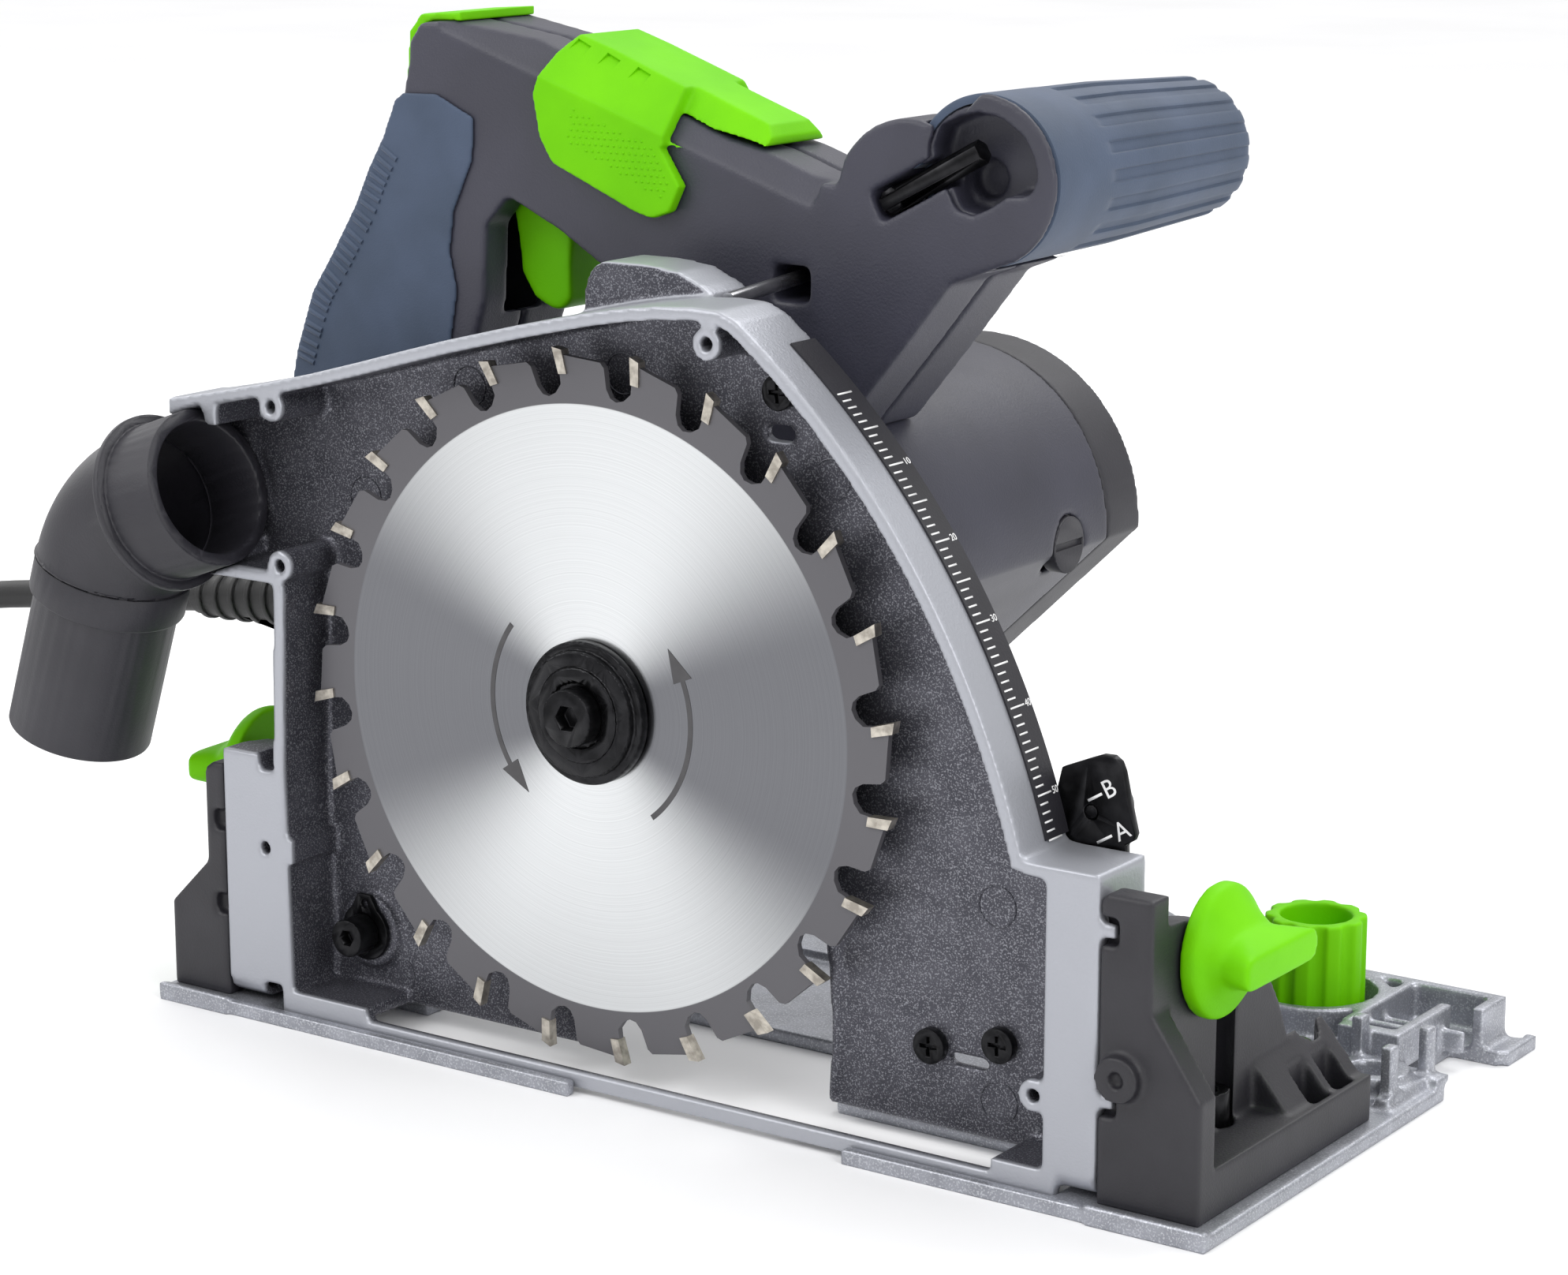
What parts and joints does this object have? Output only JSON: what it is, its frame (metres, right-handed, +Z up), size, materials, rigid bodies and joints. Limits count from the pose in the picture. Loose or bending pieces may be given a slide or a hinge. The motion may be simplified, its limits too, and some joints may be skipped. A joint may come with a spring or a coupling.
{
  "type": "track plunge saw",
  "caption": "Corded plunge-cut circular saw for guide rails, blade cover off: grooved sole, tilting guard, pivoting head with rear handle, dust elbow and front grip.",
  "frame": {"origin": "on the sole, in the middle plane of the blade, straight below the arbor of the raised saw head", "axes": "+X forward along the cut, +Y towards the motor, +Z up"},
  "size_m": [0.5719, 0.189, 0.2391],
  "materials": {
    "cast": "speckled grey powder coat on die casting",
    "bracket_abs": "black moulded, fine grain",
    "lime_abs": "lime green moulded, satin",
    "steel": "bright turned",
    "black_steel": "black oxide",
    "charcoal_abs": "blue-charcoal moulded, spark grain",
    "cap_abs": "matte black moulded",
    "soft_tpe": "blue-grey moulded soft grip",
    "cord_rubber": "black matte rubber",
    "scale_print": "black strip with white marks",
    "blade_steel": "ground centre, dark printed ring",
    "carbide": "ground carbide",
    "flange": "black turned",
    "copper": "turned copper bars",
    "carbon": "pressed carbon",
    "lamination": "stacked laminations"
  },
  "bodies": {
    "base": {"base_plate": "cast", "front_bracket": "bracket_abs", "rear_bracket": "bracket_abs", "bracket_screws": "black_steel", "bevel_pins": "steel", "lock_bolts": "steel"},
    "front_bevel_knob": {"front_bevel_knob": "lime_abs"},
    "rear_bevel_knob": {"rear_bevel_knob": "lime_abs"},
    "front_rail_cam": {"front_rail_cam": "lime_abs"},
    "rear_rail_cam": {"rear_rail_cam": "lime_abs"},
    "guard": {"guard_casting": "cast", "depth_scale": "scale_print", "guard_screws": "black_steel", "pivot_pin": "black_steel", "pivot_clip": "black_steel"},
    "depth_stop": {"depth_stop": "black_steel", "depth_stop_clamp": "black_steel"},
    "dust_elbow": {"dust_elbow": "cap_abs"},
    "saw_head": {"gear_case": "charcoal_abs", "pivot_spring": "steel", "spindle_bearings": "steel", "motor_housing": "charcoal_abs", "motor_end_cap": "cap_abs", "cap_screws": "black_steel", "armature_bearings": "steel", "stator": "lamination", "brushes": "carbon", "brush_caps": "cap_abs", "handle_near": "charcoal_abs", "handle_far": "charcoal_abs", "handle_screws": "black_steel", "rear_soft_grip": "soft_tpe", "rear_trim": "lime_abs", "front_handle_core": "charcoal_abs", "front_grip": "soft_tpe", "switch_block": "cap_abs", "cord_boot": "cord_rubber", "cord_tube": "cord_rubber", "cord_coil": "cord_rubber", "plug_lead": "cord_rubber", "plug_body": "cord_rubber", "plug_pins": "steel"},
    "spindle": {"spindle_shaft": "steel", "drive_gear": "steel", "inner_flange": "flange", "blade_plate": "blade_steel", "carbide_tips": "carbide", "outer_flange": "flange", "blade_bolt": "black_steel"},
    "armature": {"armature_shaft": "steel", "armature_core": "lamination", "commutator": "copper", "cooling_fan": "cap_abs"},
    "trigger": {"trigger": "lime_abs"},
    "release_saddle": {"release_saddle": "lime_abs"},
    "latch_pin": {"latch_pin": "steel"},
    "hex_key": {"hex_key": "black_steel"}
  },
  "joints": [
    {"name": "bevel_tilt", "type": "hinge", "parent": "base", "child": "guard", "pos_m": [0, -0.0045, 0.009], "axis": [1, 0, 0], "range_deg": [0, 45]},
    {"name": "front_knob_turn", "type": "hinge", "parent": "base", "child": "front_bevel_knob", "pos_m": [0.15, 0.016, 0.055], "axis": [1, 0, 0], "range_deg": [-60, 0]},
    {"name": "rear_knob_turn", "type": "hinge", "parent": "base", "child": "rear_bevel_knob", "pos_m": [-0.112, 0.016, 0.055], "axis": [1, 0, 0], "range_deg": [0, 60]},
    {"name": "front_cam_turn", "type": "hinge", "parent": "base", "child": "front_rail_cam", "pos_m": [0.121, 0.122, 0.01], "axis": [0, 0, 1], "range_deg": [-45, 45]},
    {"name": "rear_cam_turn", "type": "hinge", "parent": "base", "child": "rear_rail_cam", "pos_m": [-0.098, 0.122, 0.01], "axis": [0, 0, 1], "range_deg": [-45, 45]},
    {"name": "plunge", "type": "hinge", "parent": "guard", "child": "saw_head", "pos_m": [-0.073, 0, 0.022], "axis": [0, 1, 0], "range_deg": [0, 37.3], "stiffness_Nm_per_rad": 5, "springref_deg": -68.75},
    {"name": "depth_set", "type": "hinge", "parent": "guard", "child": "depth_stop", "pos_m": [-0.073, 0, 0.022], "axis": [0, 1, 0], "range_deg": [-25, 0]},
    {"name": "elbow_swivel", "type": "hinge", "parent": "guard", "child": "dust_elbow", "pos_m": [-0.105, -0.0105, 0.1295], "axis": [-0.9397, 0, -0.342], "range_deg": [-15, 90]},
    {"name": "blade_spin", "type": "hinge", "parent": "saw_head", "child": "spindle", "pos_m": [0, 0, 0.088], "axis": [0, 1, 0], "continuous": true},
    {"name": "armature_spin", "type": "hinge", "parent": "saw_head", "child": "armature", "pos_m": [0.01401, 0, 0.11396], "axis": [0, 1, 0], "continuous": true},
    {"name": "trigger_pull", "type": "slide", "parent": "saw_head", "child": "trigger", "axis": [-1, 0, 0], "range_m": [0, 0.005], "stiffness_N_per_m": 600, "springref_m": -0.002},
    {"name": "saddle_slide", "type": "slide", "parent": "saw_head", "child": "release_saddle", "axis": [0.9426, 0, -0.3338], "range_m": [0, 0.005], "stiffness_N_per_m": 800, "springref_m": -0.002},
    {"name": "latch_release", "type": "slide", "parent": "saw_head", "child": "latch_pin", "axis": [1, 0, 0], "range_m": [0, 0.003]},
    {"name": "key_out", "type": "slide", "parent": "saw_head", "child": "hex_key", "axis": [0, -1, 0], "range_m": [0, 0.045]}
  ],
  "couplings": [
    {"joint": "armature_spin", "follows": "blade_spin", "ratio": -2.9333},
    {"joint": "latch_release", "follows": "saddle_slide", "ratio": 0.6}
  ]
}
